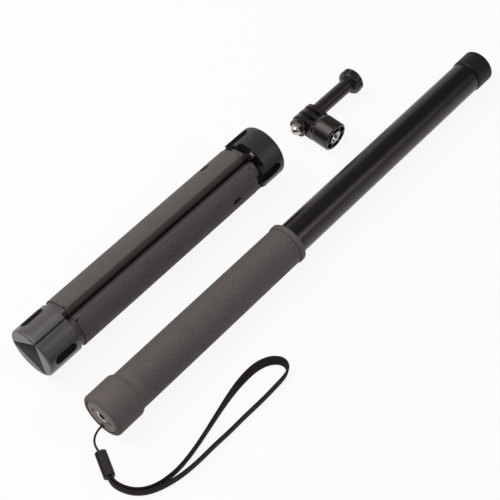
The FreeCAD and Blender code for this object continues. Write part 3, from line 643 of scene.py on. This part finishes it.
@dataclass
class Tripod:
    """Folded mini tripod with its hub, lock ring and three legs; sizes in millimetres.

    Attributes:
        axis_x: where its axis lies.
        axis_z: how high its axis lies.
        foot_y: where the ends of its feet lie.
        leg_r: radius of the three legs together.
        diamonds: how many of the skins' diamonds would go round that.
        hub_rim: distance from the feet's ends to the hub's rim, where the ring's tabs begin.
        tab_turn: how far the ring's upper tab is turned from straight up, in degrees.
        tab_r: radius of the tab's face.
        dots: the white dots.
        dot_rise: how far a dot stands off the tab.
        dot_taper: radius of a dot's top as a share of its foot's.
        dot_points: how many corners draw a dot's rim.
    """

    axis_x: float = -28.45
    axis_z: float = 18.5
    foot_y: float = -185.8
    leg_r: float = 17.5
    diamonds: int = 52
    hub_rim: float = 190.5
    tab_turn: float = 20.0
    tab_r: float = 18.0
    dots: tuple[Dot, ...] = (Dot(-1.4, 3.0, 0.24), Dot(-0.95, 1.75, 0.32), Dot(0.35, 2.0, 0.42))
    dot_rise: float = 0.03
    dot_taper: float = 0.85
    dot_points: int = 16

    def dress(self, nodes: dict[str, bpy.types.Object]) -> None:
        """Gives every piece of the tripod its material.

        Args:
            nodes: the CAD nodes by name.
        """
        # Thermoplastic rubber, moulded: matte grey skins with the grip's diamonds. The real diamonds
        # are about 1 mm; they are drawn at 1.5 mm so that they show.
        skin = KnurledRubber(
            "thermoplastic_rubber_leg_skin", "#645d5c", "#5a5453", roughness=0.72, grain=0.25,
            grain_height=0.01, axis_x=self.axis_x, axis_z=self.axis_z, rows=self.diamonds,
            radius=self.leg_r).build()
        # Glass-filled nylon, moulded: smooth dark grey legs, with painted shade darkening their faces
        # towards the slots between them and black down in the slots.
        axis = (self.axis_x, self.foot_y, self.axis_z)
        frame = Finish(
            "nylon_glass_filled_leg", "#4e4747", "#463f3f", roughness=0.5, ior=1.53, grain=0.3,
            grain_height=0.008, edge=0.25,
            painted_shade=PaintedShade(Toward.AXIS, axis, black_at=11.8, clean_at=17.3)).build()
        # Glass-filled nylon, moulded: smooth grey feet with clear highlights.
        foot = Finish(
            "nylon_glass_filled_foot", "#4a4645", "#43403f", roughness=0.33, ior=1.53, grain=0.3,
            grain_height=0.008, edge=0.35, specular=0.65, sheen="#fbf8f8").build()
        # Glass-filled nylon, spark textured: the hub's soft charcoal.
        hub = Finish(
            "nylon_spark_textured_hub", "#2a2828", "#232222", roughness=0.42, ior=1.53, grain=0.25,
            grain_height=0.014, edge=0.3, specular=0.45, sheen="#f6f6f8").build()
        # Acetal, moulded: lock ring and core, black and slippery.
        acetal = Finish(
            "acetal_moulded_lock", "#1e1c1c", "#262323", roughness=0.4, ior=1.48, grain=0.4,
            grain_height=0.008, edge=0.15).build()
        # Polyamide, moulded and sanded: hinge blocks painted near black as shade, so that the hub's
        # windows look like dark holes.
        knuckle = Finish(
            "polyamide_sanded_knuckle", "#0a0909", "#0f0e0e", roughness=0.9, grain=0.3,
            grain_height=0.01, specular=0.15).build()
        # Rubber, moulded: dull black inlays and pad.
        rubber = Finish(
            "rubber_moulded_inlay", "#080707", "#0c0b0b", roughness=0.9, grain=0.25,
            specular=0.15).build()
        # Steel, cut and black oxide coated: dark screws and pins with a dull shine.
        screw = Finish(
            "steel_black_oxide_screw", "#4c4a49", "#3a3838", roughness=0.35, metallic=1.0, grain=0.2,
            grain_height=0.004).build()
        # Steel, turned and nickel plated: bright stud.
        stud = ThreadedMetal(
            "steel_nickel_plated_hub_stud", "#cfcac3", "#bdb7af", roughness=0.24, metallic=1.0,
            grain=0.2, grain_height=0.003, centre=axis).build()
        pieces = {"skin": skin, "frame": frame, "knuckle": knuckle, "foot": foot, "inlay": rubber,
                  "screw": screw}
        for leg in (1, 2, 3):
            for piece, material in pieces.items():
                dress(nodes, [f"leg_{leg}_{piece}"], material)
        dress(nodes, ["hub_shell"], hub)
        dress(nodes, ["lock_ring", "hub_core"], acetal)
        dress(nodes, ["hub_pad"], rubber)
        dress(nodes, ["core_screw", "leg_pins"], screw)
        dress(nodes, ["hub_stud"], stud)

    def add_dot(self, shape: bmesh.types.BMesh, dot: Dot) -> None:
        """Adds one dot as a thin disc on the lock ring's upper tab.

        Args:
            shape: the shape that holds the dots.
            dot: its place and size.
        """
        turn = math.radians(self.tab_turn) + dot.across / self.tab_r
        normal = Vector((math.sin(turn), 0.0, math.cos(turn)))
        round_ring = Vector((math.cos(turn), 0.0, -math.sin(turn)))
        along = Vector((0.0, 1.0, 0.0))
        middle = Vector((self.axis_x, self.foot_y + self.hub_rim + dot.along, self.axis_z))
        foot, top = [], []
        for k in range(self.dot_points):
            angle = 2 * math.pi * k / self.dot_points
            flat = (round_ring * math.cos(angle) + along * math.sin(angle)) * dot.radius
            foot.append(middle + normal * self.tab_r + flat)
            top.append(middle + normal * (self.tab_r + self.dot_rise) + flat * self.dot_taper)
        low = [shape.verts.new(point * MM) for point in foot]
        high = [shape.verts.new(point * MM) for point in top]
        for k in range(self.dot_points):
            other = (k + 1) % self.dot_points
            shape.faces.new((low[k], low[other], high[other], high[k]))
        shape.faces.new(high)
        shape.faces.new(reversed(low))

    def mark_lock_ring(self) -> None:
        """Adds the small white dots on the lock ring's upper tab."""
        # Small bright white dots on the black ring.
        dot_white = Finish(
            "white_tab_dots", "#f0eeea", "#e2dfda", roughness=0.45, grain=0.3,
            grain_height=0.005)
        shape = bmesh.new()
        for dot in self.dots:
            self.add_dot(shape, dot)
        bmesh.ops.recalc_face_normals(shape, faces=shape.faces)
        dots = show("lock_dots", meshed("lock_dots", shape), dot_white.build())
        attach(dots, "lock_ring")


@dataclass
class Adapter:
    """Three-finger adapter with its socket, nut and thumb screw; sizes in millimetres.

    Attributes:
        socket: a point on the axis of its threaded socket.
    """

    socket: tuple[float, float, float] = (-3.42, 70.65, 10.3)

    def dress(self, nodes: dict[str, bpy.types.Object]) -> None:
        """Gives every piece of the adapter its material.

        Args:
            nodes: the CAD nodes by name.
        """
        # Glass-filled nylon, moulded: black with a soft sheen and rounded edges.
        nylon = Finish(
            "nylon_glass_filled_black", "#151211", "#1b1817", roughness=0.3, ior=1.53, grain=0.3,
            grain_height=0.006, edge=0.3)
        # Steel, turned and nickel plated: bright socket with a quarter-inch thread.
        insert = ThreadedMetal(
            "steel_nickel_plated_socket", "#d9d4cd", "#c6c0b8", roughness=0.2, metallic=1.0, grain=0.2,
            grain_height=0.003, axis=Axis.ACROSS, centre=self.socket)
        # Steel, pressed and chrome plated: mirror-bright cap nut.
        nut = Finish(
            "steel_chrome_plated_nut", "#cbc4bd", "#bdb6ae", roughness=0.12, metallic=1.0, grain=0.5,
            grain_height=0.002, edge=0.2)
        # Steel, cold headed: plain grey screw shank.
        bolt = Finish(
            "steel_cold_headed_bolt", "#8b8987", "#767472", roughness=0.32, metallic=1.0, grain=0.2,
            grain_height=0.004)
        dress(nodes, ["adapter_body", "thumb_knob"], nylon.build())
        dress(nodes, ["socket_insert"], insert.build())
        dress(nodes, ["acorn_nut"], nut.build())
        dress(nodes, ["clamp_bolt"], bolt.build())


@dataclass
class WristStrap:
    """String, clasp and flat webbing loop; sizes in millimetres from the pole's axis and butt face.

    Attributes:
        origin: x and y of the middle of the pole's butt face.
        string_d: diameter of the string.
        string_length: its length from the eyelet to the clasp; not used.
        string_exit: where it leaves the butt; not used.
        string_steps: how finely its round section is drawn.
        width: width of the webbing.
        thick: its thickness.
        band_length: its length from the clasp round and back; not used.
        band_exit: where it leaves the clasp; not used.
        fray: height of the yarn that stands out from it on every side.
        corner: how square its section is, from zero for a box to one for an oval.
        section_points: how many corners draw its section.
        band_z: height of its middle over the table.
        lean: how far it leans outwards at most, in degrees.
        lean_centre: where along it that is, as a share of its length.
        lean_spread: how soon the lean dies away before and after that place, as shares of its length.
        smoothness: how many steps draw each stretch of a line.
        string_route: points that the string's line is drawn to.
        band_route: points that the webbing's line is drawn to, on the table.
    """

    origin: tuple[float, float] = (31.75, -187.5)
    string_d: float = 1.4
    string_length: float = 30.8
    string_exit: tuple[float, float, float] = (0.0, 0.0, 5.6)
    string_steps: int = 3
    width: float = 5.5
    thick: float = 1.3
    band_length: float = 302.5
    band_exit: tuple[float, float, float] = (26.0, -20.3, 3.0)
    fray: float = 0.18
    corner: float = 0.6
    section_points: int = 16
    band_z: float = 2.95
    lean: float = 42.0
    lean_centre: float = 0.47
    lean_spread: tuple[float, float] = (0.13, 0.035)
    smoothness: int = 12

    string_route: tuple[tuple[float, float, float], ...] = (
        (0.0, 3.0, 5.6), (0.0, -1.4, 5.6), (0.5, -5.8, 5.1), (2.4, -9.6, 4.0), (5.9, -11.9, 3.1),
        (10.3, -12.8, 3.0), (14.6, -14.3, 3.0), (18.5, -16.4, 3.0))
    band_route: tuple[tuple[float, float], ...] = (
        (22.9, -17.8), (28.3, -20.6), (34.7, -20.1), (41.5, -17.3), (46.8, -12.1), (50.2, -4.9),
        (51.7, 3.7), (51.9, 12.0), (50.7, 22.7), (48.0, 36.6), (44.6, 51.4), (41.5, 66.0),
        (39.9, 78.5), (39.9, 90.3), (42.8, 99.2), (47.5, 104.0), (51.8, 105.0), (55.6, 103.2),
        (57.6, 98.6), (58.1, 89.0), (58.3, 75.0), (57.8, 61.0), (57.9, 48.0), (57.3, 34.8),
        (57.3, 22.0), (56.6, 11.4), (55.0, 2.9), (52.4, -5.8), (48.4, -13.3), (42.5, -18.9),
        (35.1, -21.9), (28.0, -22.4), (22.1, -19.3))

    def place(self, x: float, y: float, z: float) -> Vector:
        """A route point in metres in the row frame."""
        return Vector((self.origin[0] + x, self.origin[1] + y, z)) * MM

    def line(self, name: str, points: list[Vector]) -> bpy.types.Curve:
        """Makes a smooth open line through a route.

        Args:
            name: the curve's name.
            points: the route in metres.

        Returns:
            A curve of one NURBS spline.
        """
        curve = bpy.data.curves.new(name, "CURVE")
        curve.dimensions = "3D"
        spline = curve.splines.new("NURBS")
        spline.points.add(len(points) - 1)
        for knot, point in zip(spline.points, points):
            knot.co = (*point, 1.0)
        spline.order_u = 3
        spline.use_endpoint_u = True
        curve.resolution_u = self.smoothness
        return curve

    def samples(self, points: list[Vector]) -> list[Vector]:
        """Points close together along a route's smooth line.

        Args:
            points: the route in metres.

        Returns:
            Points in metres.
        """
        holder = bpy.data.objects.new("strap_line", self.line("strap_line", points))
        mesh = bpy.data.meshes.new_from_object(holder)
        found = [vertex.co.copy() for vertex in mesh.vertices]
        bpy.data.objects.remove(holder)
        bpy.data.meshes.remove(mesh)
        return found

    def section(self) -> list[tuple[float, float]]:
        """Draws the webbing's cross-section with its frayed surface.

        Returns:
            Corners as (across, up) in metres.
        """
        half_thick, half_width = self.thick / 2 + self.fray, self.width / 2 + self.fray
        outline = []
        for k in range(self.section_points):
            angle = 2 * math.pi * k / self.section_points
            across = math.copysign(abs(math.cos(angle)) ** self.corner, math.cos(angle))
            rise = math.copysign(abs(math.sin(angle)) ** self.corner, math.sin(angle))
            outline.append((across * half_thick * MM, rise * half_width * MM))
        return outline

    def lean_at(self, share: float) -> float:
        """How far the webbing leans outwards.

        Args:
            share: place along the webbing, from zero to one.

        Returns:
            An angle in radians, largest round the far end of the loop.
        """
        before, after = self.lean_spread
        spread = before if share <= self.lean_centre else after
        offset = (share - self.lean_centre) / spread
        return math.radians(self.lean) * math.exp(-offset * offset)

    def band_mesh(self, points: list[Vector]) -> bpy.types.Mesh:
        """Builds the webbing along its line, its UV map in millimetres.

        Args:
            points: the line in metres.

        Returns:
            A closed mesh.
        """
        outline = self.section()
        travel = [0.0]
        for before, after in zip(points, points[1:]):
            travel.append(travel[-1] + (after - before).length / MM)
        shape = bmesh.new()
        layer = shape.loops.layers.uv.new("UVMap")
        rings = []
        last = len(points) - 1
        for k, point in enumerate(points):
            ahead = (points[min(k + 1, last)] - points[max(k - 1, 0)]).normalized()
            turn = Quaternion(ahead, -self.lean_at(travel[k] / travel[-1]))
            across = turn @ ahead.cross(UP).normalized()
            rise = turn @ UP
            rings.append([shape.verts.new(point + across * u + rise * v) for u, v in outline])
        for k, (ring, following) in enumerate(zip(rings, rings[1:])):
            for side in range(len(ring)):
                other = (side + 1) % len(ring)
                face = shape.faces.new((ring[side], ring[other], following[other], following[side]))
                face.smooth = True
                corners = ((k, side), (k, other), (k + 1, other), (k + 1, side))
                for loop, (row, column) in zip(face.loops, corners):
                    loop[layer].uv = (travel[row], outline[column][1] / MM)
        shape.faces.new(rings[0])
        shape.faces.new(reversed(rings[-1]))
        bmesh.ops.recalc_face_normals(shape, faces=shape.faces)
        return meshed("strap_webbing", shape)

    def build_string(self) -> None:
        """Builds the string from the butt's eyelet to the clasp."""
        # Polyester, braided: thin black string, slightly fuzzy.
        cord = Finish(
            "polyester_braided_string", "#1b1919", "#2a2727", roughness=0.8, grain=0.5,
            grain_height=0.12)
        route = [self.place(*point) for point in self.string_route]
        thin = self.line("wrist_string", route)
        thin.bevel_depth = self.string_d / 2 * MM
        thin.bevel_resolution = self.string_steps
        thin.use_fill_caps = True
        string = show("wrist_string", thin, cord.build())
        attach(string, "pole")
        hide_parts("strap_string")

    def build_webbing(self) -> None:
        """Builds the webbing from the clasp round its loop and back."""
        # Nylon, woven flat: black webbing with slanting rows, its gaps between them darkened as painted
        # shade. The real rows are about 1 mm apart; they are drawn at 1.7 mm along the band so that they
        # show.
        webbing = WovenNylon(
            "nylon_woven_webbing", "#2a2523", "#040303", roughness=0.8, grain=0.2, grain_height=0.03,
            specular=0.3)
        route = [self.place(x, y, self.band_z) for x, y in self.band_route]
        points = self.samples(route)
        band = show("wrist_loop", self.band_mesh(points), webbing.build())
        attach(band, "pole")
        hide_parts("strap_loop")

    def dress(self, nodes: dict[str, bpy.types.Object]) -> None:
        """Gives the clasp its material.

        Args:
            nodes: the CAD nodes by name.
        """
        # ABS, moulded: black clasp with a soft shine.
        clasp = Finish(
            "abs_moulded_clasp", "#110e0d", "#181413", roughness=0.3, grain=0.4, grain_height=0.006,
            edge=0.3, specular=0.25)
        dress(nodes, ["strap_clasp"], clasp.build())


@dataclass(frozen=True)
class Softbox:
    """One soft panel of light that faces the set.

    Attributes:
        name: the light's name.
        azimuth: where it stands, in degrees.
        elevation: how high it stands, in degrees.
        size: its width and height in metres.
        power: in watts.
    """

    name: str
    azimuth: float
    elevation: float
    size: tuple[float, float]
    power: float


@dataclass
class Studio:
    """Floor, soft light and camera; lengths in metres and angles in degrees.

    Attributes:
        azimuth: where the camera stands.
        elevation: how high it stands.
        distance: how far it is from the point that it looks at.
        lens: its focal length in millimetres.
        sensor: width of its sensor in millimetres.
        nearest: distance from it where the picture begins.
        aim: the point that the camera and the panels look at.
        half_floor: half the side of the floor.
        paper: hex codes of the paper's fibres, which throw light back at the set.
        fibre: width of a fibre in millimetres.
        seen_paper: hex code of the paper where it is seen, dark so that its shadow stays soft.
        glow: light that the paper adds where it is seen, so that it looks almost white.
        haze: strength of the plain world.
        panel_distance: distance of every panel from the set.
        panels: the panels; key and top light the set, the others draw long reflections on the tube.
    """

    azimuth: float = 41.5
    elevation: float = 54.47
    distance: float = 0.8968
    lens: float = 102.2
    sensor: float = 36.0
    nearest: float = 0.01
    aim: tuple[float, float, float] = (0.01729, -0.04012, 0.0152)
    half_floor: float = 40.0
    paper: tuple[str, str] = ("#e9e9e9", "#efefef")
    fibre: float = 1.111
    seen_paper: str = "#4e4e4e"
    glow: float = 0.9
    haze: float = 0.19
    panel_distance: float = 1.2
    panels: tuple[Softbox, ...] = (
        Softbox("key_panel", -60.0, 54.0, (0.9, 1.3), 11.0),
        Softbox("top_panel", 0.0, 76.0, (0.8, 0.8), 3.9),
        Softbox("strip_panel", 121.0, 36.0, (0.45, 0.4), 1.65),
        Softbox("edge_panel", -118.0, 18.0, (1.2, 0.6), 1.7),
        Softbox("rim_panel", 112.0, 10.0, (0.8, 0.25), 0.45))

    def back(self, azimuth: float, elevation: float) -> Vector:
        """Direction from the set towards a viewer.

        Args:
            azimuth: zero looks along +Y and 90 along -X.
            elevation: above the horizon.

        Returns:
            A unit vector.
        """
        turn, rise = math.radians(azimuth), math.radians(elevation)
        flat = math.cos(rise)
        return Vector((math.sin(turn) * flat, -math.cos(turn) * flat, math.sin(rise)))

    def stand(self, name: str, data: bpy.types.Camera | bpy.types.Light, back: Vector,
              distance: float) -> bpy.types.Object:
        """Stands the camera or a light where it looks at the set.

        Args:
            name: the object's name.
            data: the camera or the light.
            back: direction from the set towards it.
            distance: how far away it stands.

        Returns:
            The new object.
        """
        stood = bpy.data.objects.new(name, data)
        stood.location = Vector(self.aim) + back * distance
        stood.rotation_euler = (-back).to_track_quat("-Z", "Y").to_euler()
        bpy.context.scene.collection.objects.link(stood)
        return stood

    def place_camera(self) -> None:
        """Puts the camera at the picture's angle."""
        camera = bpy.data.cameras.new("camera")
        camera.lens = self.lens
        camera.sensor_width = self.sensor
        camera.clip_start = self.nearest
        back = self.back(self.azimuth, self.elevation)
        bpy.context.scene.camera = self.stand("camera", camera, back, self.distance)

    def hang(self, panel: Softbox) -> None:
        """Adds one panel of light.

        Args:
            panel: its place, size and power.
        """
        light = bpy.data.lights.new(panel.name, "AREA")
        light.shape = "RECTANGLE"
        light.size, light.size_y = panel.size
        light.energy = panel.power
        back = self.back(panel.azimuth, panel.elevation)
        self.stand(panel.name, light, back, self.panel_distance)

    def floor_material(self) -> bpy.types.Material:
        """Pale paper that the camera and glossy pieces see almost white, with the set's shadow kept.

        Returns:
            A new material.
        """
        graph = Graph("paper_pale_backdrop")
        fibres = graph.add("TexNoise", {"Vector": graph.spot, "Scale": 1 / (self.fibre * MM),
                                        "Detail": FIBRE_DETAIL})
        dark, pale = self.paper
        tone = graph.add("Mix", {0: fibres, FIRST_COLOUR: linear(dark), SECOND_COLOUR: linear(pale)},
                         data_type="RGBA")
        path = graph.add("LightPath")
        seen = path.outputs["Is Camera Ray"]
        for kind in ("Is Glossy Ray", "Is Transmission Ray"):
            seen = graph.add("Math", {0: seen, 1: path.outputs[kind]}, operation="MAXIMUM")
        shaded = graph.add("Mix", {0: seen, FIRST_COLOUR: tone, SECOND_COLOUR: linear(self.seen_paper)},
                           data_type="RGBA")
        diffuse = graph.add("BsdfDiffuse", {"Color": shaded})
        lift = graph.add("Math", {0: seen, 1: self.glow}, operation="MULTIPLY")
        glow = graph.add("Emission", {"Color": WHITE, "Strength": lift})
        both = graph.add("AddShader", {0: diffuse, 1: glow})
        graph.add("OutputMaterial", {"Surface": both})
        return graph.material

    def lay_floor(self) -> None:
        """Lays the floor that the set lies on, wide enough to reach the horizon."""
        shape = bmesh.new()
        half = self.half_floor
        outline = ((-half, -half), (half, -half), (half, half), (-half, half))
        shape.faces.new([shape.verts.new((x, y, 0.0)) for x, y in outline])
        floor = show("floor", meshed("floor", shape), self.floor_material())

    def fill_world(self) -> None:
        """Fills the world with even white light."""
        world = bpy.data.worlds.new("studio")
        world.use_nodes = True
        background = world.node_tree.nodes["Background"]
        background.inputs["Color"].default_value = WHITE
        background.inputs["Strength"].default_value = self.haze
        bpy.context.scene.world = world

    def build(self) -> None:
        """Lays the floor, fills the world with light, hangs the panels and places the camera."""
        self.lay_floor()
        self.fill_world()
        for panel in self.panels:
            self.hang(panel)
        self.place_camera()
        bpy.context.scene.view_settings.view_transform = "Standard"


def main() -> None:
    """Builds the whole scene in order."""
    logging.basicConfig(level=logging.INFO, format="%(message)s")
    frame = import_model()
    nodes = frame["nodes"]
    Pole().dress(nodes)
    tripod = Tripod()
    tripod.dress(nodes)
    tripod.mark_lock_ring()
    Adapter().dress(nodes)
    strap = WristStrap()
    strap.dress(nodes)
    strap.build_string()
    strap.build_webbing()
    Studio().build()


if __name__ == "__main__":
    main()
